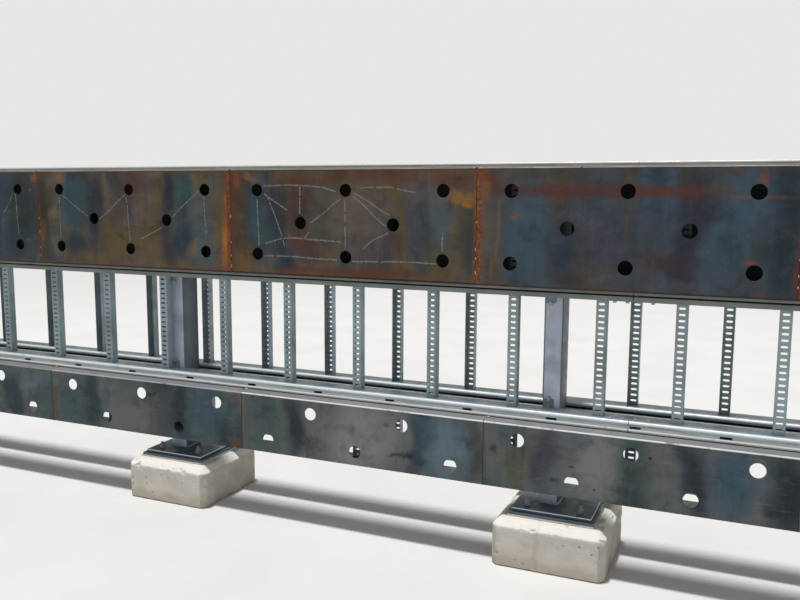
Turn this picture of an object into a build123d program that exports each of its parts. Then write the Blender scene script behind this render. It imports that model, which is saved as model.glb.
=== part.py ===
"""Cable rack: cable ladders on edge, back to back on posts, with perforated cover plates.

Millimetres, +Z up, +X along the rack, -Y the front. The origin is on the ground in the middle.
"""
from build123d import *

import os

os.makedirs("parts", exist_ok=True)

# Bays and supports
bay_length = 2000
bay_count = 3
plinth_width = 490
plinth_height = 210
plinth_top_chamfer = 33
plinth_corner_chamfer = 25
levelling_plate_width = 375
levelling_plate_thickness = 20
base_plate_width = 345
base_plate_thickness = 15
post_width = 80
post_depth = 130
post_wall = 5
post_offset = -35
post_cap_thickness = 5

# Cable ladders
rail_depth = 100
rail_lip = 21
rail_thickness = 2.5
rung_width = 45
rung_depth = 40
rung_to_post = 20
rung_thickness = 2.5
rung_pitch = 375
slot_width = 26
slot_height = 9
slot_pitch = 25
ladder_height = 532
lower_ladder_height = 321
lower_ladder_bottom = 330
lower_tier_gap = 10
upper_tier_gap = 6
post_to_section_joint = 341
section_joint_gap = 3
joint_to_left_rung = 130
joint_to_right_rung = 185
rear_end_to_rung = 278
splice_length = 200
splice_thickness = 3
splice_clearance = 2.5
cleat_width = 45
cleat_foot = 18
cleat_height = 35
cleat_thickness = 4
cleat_offset = -12

# Cover plates
run_past_end_posts = 133
run_shift = 16
cover_count = 5
cover_joint_gap = 2
cover_thickness = 5
cover_hole_radius = 30
cover_hole_to_end = 151
upper_cover_drop = 25
upper_cover_strip = 15
upper_hole_row_spacing = 152
lower_cover_shift = 55
lower_cover_thickness = 4
lower_cover_fold = 25
lower_cover_slope = 15
lower_top_row_below_edge = 68
lower_hole_row_spacing = 156
lower_row_holes = (2, 3)
fold_radius = 6

# Places worked out from the sizes above
plinth_xs = [(i - bay_count / 2) * bay_length for i in range(bay_count + 1)]
post_xs = [x + post_offset for x in plinth_xs]
base_plate_bottom = plinth_height + levelling_plate_thickness
post_bottom = base_plate_bottom + base_plate_thickness
lower_ladder_top = lower_ladder_bottom + lower_ladder_height
middle_ladder_bottom = lower_ladder_top + lower_tier_gap
upper_ladder_bottom = middle_ladder_bottom + ladder_height + upper_tier_gap
tiers = {
    "lower": (lower_ladder_bottom, lower_ladder_height),
    "middle": (middle_ladder_bottom, ladder_height),
    "upper": (upper_ladder_bottom, ladder_height),
}
sides = {"front": -1, "rear": 1}
rail_outer_y = post_depth / 2 + rail_depth
rail_middle_y = post_depth / 2 + rail_depth / 2
rung_inner_y = post_depth / 2 + rung_to_post
rung_middle_y = rung_inner_y + rung_depth / 2
post_top = upper_ladder_bottom + ladder_height - rail_lip
run_length = bay_count * bay_length + 2 * run_past_end_posts
run_left = run_shift - run_length / 2
run_right = run_shift + run_length / 2
section_joint_x = post_xs[-2] + post_to_section_joint
cover_length = (run_length - (cover_count - 1) * cover_joint_gap) / cover_count
cover_pitch = cover_length + cover_joint_gap
cover_xs = [run_left + cover_length / 2 + i * cover_pitch for i in range(cover_count)]
cover_hole_spacing = cover_length / 2 - cover_hole_to_end


def save(piece, name):
    piece.part.label = name
    export_step(piece.part, f"parts/{name}.step")


def rung_row(first, last):
    """Rung centres from first towards last, one pitch apart."""
    count = int(abs(last - first) // rung_pitch) + 1
    direction = 1 if last > first else -1
    return [first + direction * i * rung_pitch for i in range(count)]


def rung_xs(side):
    """Rung positions: the front ladder restarts its rungs at the joint of its two sections."""
    left_limit = run_left + rung_width
    right_limit = run_right - rung_width
    if side == "rear":
        return rung_row(run_left + rear_end_to_rung, right_limit)
    left_section = rung_row(section_joint_x - joint_to_left_rung, left_limit)
    right_section = rung_row(section_joint_x + joint_to_right_rung, right_limit)
    return left_section + right_section


def rail_spans(side):
    """The stretches that a rail is made of, from its left end to its right end."""
    if side == "rear":
        return [(run_left, run_right)]
    half_gap = section_joint_gap / 2
    return [(run_left, section_joint_x - half_gap), (section_joint_x + half_gap, run_right)]


# Concrete plinths with chamfered top edges and corners
for number, x in enumerate(plinth_xs, 1):
    with BuildPart() as plinth:
        with BuildSketch(Plane.XY):
            with Locations((x, 0)):
                Rectangle(plinth_width, plinth_width)
        extrude(amount=plinth_height)
        chamfer(plinth.edges().filter_by(Axis.Z), plinth_corner_chamfer)
        chamfer(plinth.faces().sort_by(Axis.Z)[-1].edges(), plinth_top_chamfer)
    save(plinth, f"plinth_{number}")

# Levelling plates between the plinths and the base plates
with BuildPart() as levelling_plates:
    with BuildSketch(Plane.XY.offset(plinth_height)):
        for x in plinth_xs:
            with Locations((x, 0)):
                Rectangle(levelling_plate_width, levelling_plate_width)
    extrude(amount=levelling_plate_thickness)
save(levelling_plates, "levelling_plates")

# Base plates under the posts
for number, x in enumerate(plinth_xs, 1):
    with BuildPart() as base_plate:
        with BuildSketch(Plane.XY.offset(base_plate_bottom)):
            with Locations((x, 0)):
                Rectangle(base_plate_width, base_plate_width)
        extrude(amount=base_plate_thickness)
    save(base_plate, f"base_plate_{number}")

# Hollow posts with a closing plate on top
for number, x in enumerate(post_xs, 1):
    with BuildPart() as post:
        with BuildSketch(Plane.XY.offset(post_bottom)):
            with Locations((x, 0)):
                Rectangle(post_width, post_depth)
                Rectangle(post_width - 2 * post_wall, post_depth - 2 * post_wall, mode=Mode.SUBTRACT)
        extrude(amount=post_top - post_cap_thickness - post_bottom)
        with BuildSketch(Plane.XY.offset(post_top - post_cap_thickness)):
            with Locations((x, 0)):
                Rectangle(post_width, post_depth)
        extrude(amount=post_cap_thickness)
    save(post, f"post_{number}")


def make_rail(side, lip_edge, direction):
    """One ladder rail: a C section with its web level and its lips turned away from the rungs."""
    sign = sides[side]
    with BuildPart() as rail:
        for left, right in rail_spans(side):
            with BuildSketch(Plane.YZ.offset(left)):
                with Locations((sign * rail_middle_y, lip_edge - direction * rail_lip / 2)):
                    Rectangle(rail_depth, rail_lip)
                inner_height = rail_lip - rail_thickness
                with Locations((sign * rail_middle_y, lip_edge - direction * inner_height / 2)):
                    Rectangle(rail_depth - 2 * rail_thickness, inner_height, mode=Mode.SUBTRACT)
            extrude(amount=right - left)
    return rail


def make_rungs(side, bottom, height, slotted):
    """The rungs of one ladder: channels whose slotted web faces away from the posts."""
    sign = sides[side]
    low = bottom + rail_lip
    length = height - 2 * rail_lip
    channel_width = rung_width - 2 * rung_thickness
    channel_depth = rung_depth - rung_thickness
    outer_y = sign * (rung_inner_y + rung_depth)
    slot_count = int(length // slot_pitch)
    with BuildPart() as rungs:
        with BuildSketch(Plane.XY.offset(low)):
            for x in rung_xs(side):
                with Locations((x, sign * rung_middle_y)):
                    Rectangle(rung_width, rung_depth)
                with Locations((x, sign * (rung_middle_y - rung_thickness / 2))):
                    Rectangle(channel_width, channel_depth, mode=Mode.SUBTRACT)
        extrude(amount=length)
        if slotted:
            with BuildSketch(Plane.XZ.offset(-outer_y)):
                for x in rung_xs(side):
                    with Locations((x, low + length / 2)):
                        with GridLocations(slot_width, slot_pitch, 1, slot_count):
                            Rectangle(slot_width, slot_height)
            extrude(amount=sign * rung_thickness, mode=Mode.SUBTRACT)
    return rungs


# Cable ladders: two rails and a row of rungs in each tier, on both sides of the posts
for side in sides:
    for tier, (bottom, height) in tiers.items():
        save(make_rail(side, bottom + height, 1), f"{side}_{tier}_top_rail")
        save(make_rail(side, bottom, -1), f"{side}_{tier}_bottom_rail")
        slotted = side == "front" and tier == "middle"
        save(make_rungs(side, bottom, height, slotted), f"{side}_{tier}_rungs")

# Splice plates inside the rails where the two ladder sections meet
with BuildPart() as splice_plates:
    for bottom, height in tiers.values():
        under_lower_web = bottom + rail_lip - rail_thickness - splice_thickness
        over_upper_web = bottom + height - rail_lip + rail_thickness
        for level in (under_lower_web, over_upper_web):
            with BuildSketch(Plane.XY.offset(level)):
                with Locations((section_joint_x, -rail_middle_y)):
                    Rectangle(splice_length, rail_depth - 2 * (rail_thickness + splice_clearance))
            extrude(amount=splice_thickness)
save(splice_plates, "splice_plates")


def make_cleats(side):
    """Angle cleats that hold the rails to the posts, one at each rail and post."""
    sign = sides[side]
    with BuildPart() as cleats:
        for bottom, height in tiers.values():
            for web_level, direction in ((bottom + rail_lip, 1), (bottom + height - rail_lip, -1)):
                for x in post_xs:
                    left = x + cleat_offset - cleat_width / 2
                    foot_y = sign * (post_depth / 2 + cleat_foot / 2)
                    upright_y = sign * (post_depth / 2 + cleat_thickness / 2)
                    with BuildSketch(Plane.YZ.offset(left)):
                        with Locations((foot_y, web_level + direction * cleat_thickness / 2)):
                            Rectangle(cleat_foot, cleat_thickness)
                        with Locations((upright_y, web_level + direction * cleat_height / 2)):
                            Rectangle(cleat_thickness, cleat_height)
                    extrude(amount=cleat_width)
    return cleats


for side in sides:
    save(make_cleats(side), f"{side}_cleats")


# Upper cover plates: the front ones have three holes over two over three, the rear ones are plain
upper_cover_top = upper_ladder_bottom + ladder_height - upper_cover_drop
upper_cover_height = ladder_height - upper_cover_drop - upper_cover_strip
upper_row_z = upper_cover_top - upper_cover_height / 2
for side, sign in sides.items():
    for number, x in enumerate(cover_xs, 1):
        with BuildPart() as upper_cover:
            with BuildSketch(Plane.XZ.offset(-sign * rail_outer_y)):
                with Locations((x, upper_row_z)):
                    Rectangle(cover_length, upper_cover_height)
                    if side == "front":
                        with GridLocations(cover_hole_spacing, 2 * upper_hole_row_spacing, 3, 2):
                            Circle(cover_hole_radius, mode=Mode.SUBTRACT)
                        with GridLocations(cover_hole_spacing, 0, 2, 1):
                            Circle(cover_hole_radius, mode=Mode.SUBTRACT)
            extrude(amount=-sign * cover_thickness)
        save(upper_cover, f"{side}_upper_cover_{number}")

# Lower cover plates, folded back along both long edges, with two rows of staggered holes.
# The folded outline runs on past the face of the rail, and is cut off there.
lower_cover_top = lower_ladder_top - rail_lip + lower_cover_thickness
lower_fold_top = lower_cover_top - lower_cover_slope
lower_cover_front = -rail_outer_y - lower_cover_fold
slope_past_rail = lower_cover_slope * lower_cover_thickness / lower_cover_fold
for number, upper_x in enumerate(cover_xs, 1):
    x = upper_x + lower_cover_shift
    top_count = lower_row_holes[(number + 1) % 2]
    bottom_count = lower_row_holes[number % 2]
    with BuildPart() as lower_cover:
        with BuildSketch(Plane.YZ.offset(x - cover_length / 2)):
            with BuildLine():
                past_rail_y = -rail_outer_y + lower_cover_thickness
                outside = FilletPolyline(
                    (past_rail_y, lower_cover_top + slope_past_rail),
                    (lower_cover_front, lower_fold_top),
                    (lower_cover_front, lower_ladder_bottom),
                    (past_rail_y, lower_ladder_bottom),
                    radius=fold_radius,
                )
                offset(outside, amount=lower_cover_thickness, side=Side.LEFT)
            make_face()
            with Locations((past_rail_y, lower_cover_top)):
                Rectangle(2 * lower_cover_thickness, 2 * lower_ladder_height, mode=Mode.SUBTRACT)
        extrude(amount=cover_length)
        with BuildSketch(Plane.XZ.offset(-lower_cover_front)):
            top_row_z = lower_fold_top - lower_top_row_below_edge
            with Locations((x, top_row_z)):
                with GridLocations(cover_hole_spacing, 0, top_count, 1):
                    Circle(cover_hole_radius)
            with Locations((x, top_row_z - lower_hole_row_spacing)):
                with GridLocations(cover_hole_spacing, 0, bottom_count, 1):
                    Circle(cover_hole_radius)
        extrude(amount=-lower_cover_thickness, mode=Mode.SUBTRACT)
    save(lower_cover, f"lower_cover_{number}")
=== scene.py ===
"""Looks of the cable rack: finishes for the CAD nodes and the small parts that the CAD leaves out.

Metres, in the CAD's own frame: +Z up, +X along the rack, -Y the front.
"""

import math
import random

import bmesh
import bpy
from mathutils import Matrix, Vector, noise


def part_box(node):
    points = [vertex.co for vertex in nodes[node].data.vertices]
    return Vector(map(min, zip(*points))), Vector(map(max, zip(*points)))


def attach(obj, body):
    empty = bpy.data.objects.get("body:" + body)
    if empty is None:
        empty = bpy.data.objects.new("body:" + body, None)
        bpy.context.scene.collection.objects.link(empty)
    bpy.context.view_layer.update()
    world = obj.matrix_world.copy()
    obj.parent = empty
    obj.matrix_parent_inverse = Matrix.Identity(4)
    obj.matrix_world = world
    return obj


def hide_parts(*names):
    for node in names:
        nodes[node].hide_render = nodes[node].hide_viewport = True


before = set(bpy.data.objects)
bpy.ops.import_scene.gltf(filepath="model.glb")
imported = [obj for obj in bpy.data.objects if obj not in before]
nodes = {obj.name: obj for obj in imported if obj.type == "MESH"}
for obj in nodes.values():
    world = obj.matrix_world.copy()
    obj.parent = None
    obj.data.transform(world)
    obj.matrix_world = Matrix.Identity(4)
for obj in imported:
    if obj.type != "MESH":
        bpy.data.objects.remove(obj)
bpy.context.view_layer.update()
scene = bpy.context.scene
chance = random.Random(7)

UP = Vector((0, 0, 1))
DOWN = Vector((0, 0, -1))
FRONT = Vector((0, -1, 0))
SIDES = {"front": -1, "rear": 1}
TIERS = ("lower", "middle", "upper")
ENDS = ("top", "bottom")
# Corners nearer than this are one corner
MERGE_DISTANCE = 0.00001
# Like pieces stand further apart than this
RUNGS_APART = 0.1
POSTS_APART = 0.2
CLEATS_APART = 0.02

# Places read from the frame
post_boxes = [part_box(f"post_{i}") for i in range(1, 5)]
base_boxes = [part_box(f"base_plate_{i}") for i in range(1, 5)]
plinth_boxes = [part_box(f"plinth_{i}") for i in range(1, 5)]
upper_boxes = [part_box(f"front_upper_cover_{i}") for i in range(1, 6)]
lower_boxes = [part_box(f"lower_cover_{i}") for i in range(1, 6)]


def joints_between(boxes):
    """X of each joint between neighbouring plates."""
    return [(a[1].x + b[0].x) / 2 for a, b in zip(boxes, boxes[1:])]


upper_joints = joints_between(upper_boxes)
lower_joints = joints_between(lower_boxes)
UPPER_LOW, UPPER_HIGH = upper_boxes[0][0].z, upper_boxes[0][1].z
LOWER_LOW, LOWER_HIGH = lower_boxes[0][0].z, lower_boxes[0][1].z


def colour(*display):
    """A colour written as display values from 0 to 255, in the linear form that shaders take."""
    shares = [value / 255 for value in display]
    return (*(v / 12.92 if v <= 0.04045 else ((v + 0.055) / 1.055) ** 2.4 for v in shares), 1.0)


def feed(socket, value):
    """Gives a shader input its value, or links it to another node's output."""
    if isinstance(value, bpy.types.NodeSocket):
        socket.id_data.links.new(value, socket)
    else:
        socket.default_value = value


def add_node(tree, kind, inputs, **settings):
    """A shader node with the settings given, and with values or links fed to the inputs named."""
    node = tree.nodes.new(f"ShaderNode{kind}")
    for name, setting in settings.items():
        setattr(node, name, setting)
    for socket, value in inputs.items():
        feed(node.inputs[socket], value)
    return node


class Finish:
    """A node material written as expressions. Places are in metres, in the frame's axes."""

    def __init__(self, name):
        self.material = bpy.data.materials.new(name)
        self.material.use_nodes = True
        self.tree = self.material.node_tree
        self.surface = self.tree.nodes["Principled BSDF"]
        self.place = self.node("TexCoord", {}).outputs["Object"]
        self.x, self.y, self.z = self.node("SeparateXYZ", {0: self.place}).outputs
        self.base = None

    def node(self, kind, inputs, **settings):
        return add_node(self.tree, kind, inputs, **settings)

    def math(self, operation, a, b=0.0):
        return self.node("Math", {0: a, 1: b}, operation=operation).outputs[0]

    def plus(self, a, b):
        return self.math("ADD", a, b)

    def minus(self, a, b):
        return self.math("SUBTRACT", a, b)

    def times(self, a, b):
        return self.math("MULTIPLY", a, b)

    def size(self, a):
        return self.math("ABSOLUTE", a)

    def swing(self, pattern, gain):
        """A pattern turned into a push to both sides of nought."""
        return self.times(self.minus(pattern, 0.5), gain)

    def mapped(self, place, scale, shift=(0, 0, 0)):
        """The place multiplied by a scale, one number or one for each axis, and then shifted."""
        if not isinstance(scale, tuple):
            scale = (scale,) * 3
        return self.node("Mapping", {"Vector": place, "Scale": scale, "Location": shift}).outputs[0]

    def noise(self, scale, detail=4.0, roughness=0.5, distortion=0.0, shift=(0, 0, 0), output="Fac"):
        """Noise stretched by a scale for each axis: a larger scale is a finer pattern."""
        inputs = {"Vector": self.mapped(self.place, scale, shift), "Scale": 1.0, "Detail": detail,
                  "Roughness": roughness, "Distortion": distortion}
        return self.node("TexNoise", inputs).outputs[output]

    def cells(self, scale, output="Distance"):
        inputs = {"Vector": self.mapped(self.place, scale), "Scale": 1.0}
        return self.node("TexVoronoi", inputs).outputs[output]

    def ramp(self, value, stops):
        node = self.node("ValToRGB", {0: value})
        elements = node.color_ramp.elements
        while len(elements) < len(stops):
            elements.new(0.5)
        for element, (position, tone) in zip(elements, stops):
            element.position = position
            element.color = tone
        return node.outputs[0]

    def fade(self, value, start, end, low=0.0, high=1.0):
        """Goes smoothly from low to high while value goes from start to end."""
        inputs = dict(enumerate((value, start, end, low, high)))
        return self.node("MapRange", inputs, interpolation_type="SMOOTHSTEP").outputs[0]

    def mix(self, share, a, b, blend="MIX"):
        inputs = {0: share, 6: a, 7: b}
        return self.node("Mix", inputs, data_type="RGBA", blend_type=blend).outputs[2]

    def cover(self, tone, share):
        """Mixes a share of a tone into the base colour."""
        self.base = self.mix(share, self.base, tone)

    def lay(self, tone, share, value, start, end, mask=None):
        """Covers with up to a share of a tone as value goes from start to end, within a mask."""
        amount = self.fade(value, start, end, 0.0, share)
        self.cover(tone, amount if mask is None else self.times(amount, mask))

    def vector(self, operation, a, b=(0, 0, 0), output=0):
        """Vector arithmetic. LENGTH gives its number as output 1."""
        return self.node("VectorMath", {0: a, 1: b}, operation=operation).outputs[output]

    def bent_place(self, scale, push, seed):
        """The place pushed about by slow noise, so that what is drawn with it gets uneven outlines."""
        offset = self.vector("SUBTRACT", self.noise(scale, shift=(seed,) * 3, output="Color"), (0.5,) * 3)
        return self.vector("ADD", self.place, self.vector("MULTIPLY", offset, (push,) * 3))

    def reach(self, place, middle, spot):
        """Distance from a spot on the front, as a share of its half width and half height.

        A spot is (across from the middle, z, half width, half height), in millimetres.
        """
        across, z, half_x, half_z = (part / 1000 for part in spot)
        shift = (-(middle + across) / half_x, 0, -z / half_z)
        return self.vector("LENGTH", self.mapped(place, (1 / half_x, 0, 1 / half_z), shift), output=1)

    def facing(self, axis):
        """The surface normal's part along x, y or z, given as 0, 1 or 2."""
        normal = self.node("NewGeometry", {}).outputs["Normal"]
        return self.node("SeparateXYZ", {0: normal}).outputs[axis]

    def finish(self, roughness, metallic, specular, bump=None, bump_height=0.0003):
        """Feeds the surface shader. Bump is a height pattern, and its height is in metres."""
        inputs = {"Base Color": self.base, "Roughness": roughness, "Metallic": metallic,
                  "Specular IOR Level": specular}
        if bump is not None:
            bumps = self.node("Bump", {"Distance": bump_height, "Strength": 1.0, "Height": bump})
            inputs["Normal"] = bumps.outputs[0]
        for name, value in inputs.items():
            feed(self.surface.inputs[name], value)
        return self.material


# Colours seen on the rack
TEAL = colour(46, 72, 78)
DARK_TEAL = colour(36, 50, 54)
BLUE = colour(40, 54, 70)
INDIGO = colour(42, 43, 56)
DUSK = colour(60, 82, 98)
SLATE = colour(72, 88, 94)
VIOLET = colour(64, 68, 77)
DARK_SLATE = colour(34, 46, 54)
GREY_GREEN = colour(56, 60, 60)
OLIVE = colour(92, 78, 50)
DARK_OLIVE = colour(46, 42, 32)
MOSS = colour(82, 86, 72)
EARTH = colour(72, 64, 55)
GREY = colour(94, 85, 78)
RUSSET = colour(86, 58, 44)
UMBER = colour(76, 52, 47)
PLUM = colour(58, 46, 54)
MUSTARD = colour(140, 98, 44)
TAN = colour(120, 94, 60)
AMBER = colour(186, 118, 42)
ORANGE = colour(134, 72, 34)
OCHRE = colour(142, 90, 44)
BRONZE = colour(76, 57, 40)
RUST = colour(92, 52, 34)
RED = colour(86, 48, 43)
SOOT = colour(30, 34, 38)
NAVY = colour(42, 51, 60)
STEEL = colour(62, 86, 100)
PALE_STEEL = colour(98, 116, 130)
SEA = colour(66, 86, 88)
DARK_SEA = colour(42, 62, 70)
ASH = colour(102, 104, 105)
PALE_ASH = colour(132, 130, 133)
# Tone of the painted highlight along the lower covers' fold
HIGHLIGHT_PALE = colour(230, 230, 228)

# Tints and stains on each plate, in millimetres: across from its middle, z, half width,
# half height, and then the colour and its share
UPPER_TINTS = {
    1: [
        (-500, 1460, 100, 260, OLIVE, 0.8), (-280, 1480, 80, 240, BLUE, 0.8),
        (-60, 1400, 140, 200, EARTH, 0.8), (200, 1500, 80, 200, INDIGO, 0.8),
        (470, 1460, 140, 320, DARK_TEAL, 1.0), (600, 1420, 40, 220, DARK_OLIVE, 0.6),
    ],
    2: [
        (-600, 1480, 80, 340, DARK_OLIVE, 1.0), (-480, 1400, 50, 120, MOSS, 0.8),
        (-380, 1560, 90, 140, TEAL, 1.0), (-360, 1340, 70, 70, DARK_TEAL, 0.8),
        (-240, 1570, 60, 120, INDIGO, 0.9), (-230, 1370, 50, 80, PLUM, 0.8),
        (-80, 1370, 130, 100, OLIVE, 0.9), (-100, 1550, 80, 120, EARTH, 0.8),
        (20, 1620, 80, 90, UMBER, 0.9), (130, 1400, 80, 140, OLIVE, 0.9), (-250, 1250, 160, 50, OLIVE, 0.8),
        (250, 1560, 60, 170, INDIGO, 1.0), (250, 1320, 60, 120, INDIGO, 0.9),
        (360, 1580, 60, 130, TEAL, 1.0), (350, 1370, 60, 120, BLUE, 1.0), (460, 1420, 60, 170, SLATE, 0.9),
        (480, 1270, 70, 60, SLATE, 0.8),
    ],
    3: [
        (-590, 1440, 60, 340, BRONZE, 1.0), (-560, 1280, 70, 80, TAN, 0.5),
        (-460, 1500, 60, 170, TEAL, 1.0), (-450, 1670, 50, 40, SLATE, 0.7),
        (-360, 1420, 60, 200, BLUE, 1.0), (-330, 1580, 60, 110, INDIGO, 0.9),
        (-220, 1560, 70, 160, UMBER, 0.9), (-220, 1350, 70, 80, UMBER, 0.9),
        (-110, 1470, 50, 180, EARTH, 0.6), (80, 1470, 160, 170, GREY, 1.0), (0, 1685, 380, 35, RUSSET, 0.9),
        (20, 1245, 400, 35, RUSSET, 0.9), (240, 1360, 50, 70, UMBER, 0.7),
        (345, 1420, 40, 180, VIOLET, 0.95), (400, 1460, 30, 150, BLUE, 0.7),
        (460, 1470, 50, 130, SLATE, 0.9), (590, 1400, 60, 180, GREY_GREEN, 0.95),
    ],
    4: [
        (-570, 1440, 50, 180, GREY, 0.5), (-600, 1690, 60, 50, RUST, 1.0),
        (-400, 1420, 130, 200, DUSK, 1.0), (-230, 1380, 60, 160, BLUE, 0.95),
        (-80, 1470, 100, 160, VIOLET, 0.9), (100, 1400, 100, 160, VIOLET, 0.8),
        (235, 1420, 60, 280, INDIGO, 0.95), (370, 1470, 90, 220, DUSK, 0.95),
        (470, 1360, 50, 140, GREY_GREEN, 0.7), (600, 1460, 90, 340, DARK_SLATE, 1.0),
        (-280, 1680, 200, 35, EARTH, 0.8), (120, 1350, 70, 50, UMBER, 0.4),
        (20, 1260, 140, 60, VIOLET, 0.9),
    ],
    5: [
        (-520, 1460, 80, 240, EARTH, 0.8), (-360, 1520, 80, 180, BLUE, 0.8),
        (-180, 1420, 120, 200, OLIVE, 0.8), (60, 1460, 120, 240, GREY, 0.8),
        (280, 1500, 70, 220, TEAL, 0.9), (480, 1440, 100, 260, INDIGO, 0.8),
    ],
}
UPPER_STAINS = {
    1: [(600, 1675, 40, 24, MUSTARD, 0.8), (569, 1608, 9, 9, ORANGE, 0.7)],
    2: [
        (-600, 1675, 30, 30, RED, 0.9), (-470, 1672, 36, 34, MUSTARD, 0.7),
        (-590, 1340, 30, 90, MUSTARD, 0.35), (-505, 1470, 34, 30, TAN, 0.7), (-256, 1313, 20, 20, RED, 0.9),
        (417, 1310, 36, 30, TAN, 0.7), (420, 1635, 30, 20, TAN, 0.6), (596, 1380, 22, 80, AMBER, 0.8),
        (600, 1560, 12, 40, AMBER, 0.5), (590, 1275, 20, 40, AMBER, 0.4),
    ],
    3: [
        (-605, 1672, 30, 30, ORANGE, 0.9), (-511, 1683, 50, 16, MUSTARD, 0.7),
        (-250, 1405, 36, 12, RED, 0.8), (-240, 1232, 130, 26, RUST, 0.9), (150, 1232, 200, 22, RUST, 0.8),
        (220, 1668, 180, 22, RED, 0.5), (530, 1655, 110, 40, RED, 0.9), (551, 1662, 20, 13, PLUM, 0.9),
        (578, 1580, 60, 22, MUSTARD, 1.0), (600, 1560, 30, 14, AMBER, 0.6),
    ],
    4: [
        (-585, 1640, 30, 50, OCHRE, 0.6), (-560, 1690, 60, 12, RUST, 0.8), (-526, 1530, 8, 60, TAN, 0.4),
        (-528, 1440, 8, 60, TAN, 0.5), (-538, 1360, 8, 50, TAN, 0.5), (-556, 1290, 9, 50, TAN, 0.45),
        (-463, 1500, 20, 12, ORANGE, 0.7), (-200, 1614, 360, 32, RED, 1.0), (160, 1612, 200, 26, RUST, 0.8),
        (480, 1592, 120, 8, ORANGE, 0.4), (190, 1350, 80, 30, PLUM, 0.8), (491, 1658, 18, 34, ORANGE, 0.6),
        (462, 1346, 26, 10, ORANGE, 0.7), (371, 1680, 30, 10, RED, 0.8), (616, 1290, 10, 50, RUST, 0.8),
    ],
    5: [(-400, 1655, 200, 30, RED, 0.7), (300, 1250, 160, 30, RUST, 0.7)],
}
# Rust beside the two ends of each plate: reach in millimetres, colour, share
UPPER_ENDS = {
    1: ((20, RUST, 0.4), (12, RUST, 0.6)),
    2: ((10, OCHRE, 0.25), (26, ORANGE, 0.95)),
    3: ((16, RUST, 0.8), (8, OCHRE, 0.6)),
    4: ((27, OCHRE, 0.9), (8, RUST, 0.5)),
    5: ((16, RUST, 0.8), (20, RUST, 0.8)),
}
UPPER_EDGE_RUST = {1: 0.6, 2: 0.9, 3: 1.2, 4: 0.5, 5: 0.9}
LOWER_TINTS = {
    1: [
        (-450, 480, 140, 160, ASH, 0.8), (-160, 480, 100, 160, STEEL, 0.8), (80, 470, 120, 160, ASH, 0.8),
        (340, 460, 90, 160, DARK_SEA, 1.0), (500, 530, 80, 80, PALE_STEEL, 0.6),
        (540, 420, 80, 100, SEA, 0.8),
    ],
    2: [
        (-470, 470, 90, 160, SEA, 1.0), (-345, 500, 50, 150, DARK_SEA, 0.95),
        (-60, 440, 170, 160, ASH, 1.0), (245, 490, 50, 150, NAVY, 0.9), (410, 480, 100, 150, STEEL, 0.8),
        (580, 480, 50, 140, SEA, 0.4),
    ],
    3: [
        (-500, 480, 100, 140, SEA, 0.9), (-340, 470, 55, 180, NAVY, 1.0),
        (10, 480, 200, 200, PALE_ASH, 1.0), (240, 480, 40, 140, ASH, 0.7), (345, 480, 50, 160, STEEL, 0.8),
        (320, 420, 40, 100, NAVY, 0.5), (465, 480, 80, 180, PALE_STEEL, 1.0),
        (590, 500, 40, 160, GREY_GREEN, 0.7),
    ],
    4: [
        (-580, 450, 40, 120, ASH, 0.6), (-450, 460, 70, 140, MOSS, 0.9), (-340, 500, 50, 160, VIOLET, 0.95),
        (-130, 500, 100, 180, PALE_ASH, 0.8), (0, 470, 50, 120, SEA, 0.6), (120, 470, 80, 160, ASH, 0.9),
        (240, 480, 55, 180, NAVY, 1.0), (390, 490, 90, 180, STEEL, 1.0),
        (600, 480, 80, 240, DARK_SLATE, 1.0),
    ],
    5: [
        (-500, 480, 100, 160, SEA, 0.8), (-280, 480, 60, 160, NAVY, 0.8), (-40, 480, 180, 160, ASH, 0.9),
        (220, 480, 50, 160, VIOLET, 0.8), (440, 480, 120, 160, STEEL, 0.9),
    ],
}
LOWER_STAINS = {
    1: [(325, 385, 70, 18, SOOT, 0.6), (270, 500, 20, 60, SOOT, 0.4)],
    2: [
        (-610, 450, 24, 110, RUST, 0.7), (-580, 612, 40, 14, TAN, 0.8), (593, 566, 26, 48, RUST, 0.5),
        (606, 366, 30, 20, ORANGE, 0.35), (20, 545, 60, 10, SOOT, 0.6),
    ],
    3: [
        (-615, 520, 16, 80, TAN, 0.5), (-240, 392, 26, 48, SOOT, 0.5), (211, 424, 34, 12, SOOT, 0.9),
        (275, 410, 48, 16, SOOT, 0.9), (160, 545, 16, 10, SOOT, 0.6), (350, 390, 40, 20, SOOT, 0.5),
    ],
    4: [
        (-580, 504, 18, 18, SOOT, 0.8), (-240, 467, 11, 7, SOOT, 1.0), (-8, 473, 24, 60, SOOT, 0.4),
        (-47, 378, 36, 40, SOOT, 0.4), (544, 394, 46, 14, SOOT, 0.7), (-141, 381, 8, 6, SOOT, 1.0),
        (76, 545, 7, 6, SOOT, 1.0), (-310, 400, 20, 10, SOOT, 0.7),
    ],
    5: [(100, 540, 12, 10, SOOT, 0.9), (-300, 400, 50, 20, SOOT, 0.6)],
}
LOWER_ENDS = ((7, EARTH, 0.22), (5, EARTH, 0.22))
BROWN_SCALE = ((0.28, EARTH), (0.42, BLUE), (0.50, GREY), (0.58, OLIVE), (0.72, SLATE))
BLUE_SCALE = ((0.28, INDIGO), (0.42, DUSK), (0.52, VIOLET), (0.60, EARTH), (0.72, STEEL))
LOWER_SCALE = ((0.28, NAVY), (0.42, SEA), (0.55, ASH), (0.72, STEEL))
FOLD_DROP = 0.015
# Share of the painted highlight along each lower cover's fold
FOLD_HIGHLIGHT_SHARE = {1: 0.25, 2: 0.45, 3: 1.0, 4: 1.0, 5: 0.8}
# Half widths in millimetres: above the first a stain's outline is soft, and between the two it is bent
WIDE_STAIN = 80
SMALL_STAIN = 30


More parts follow.
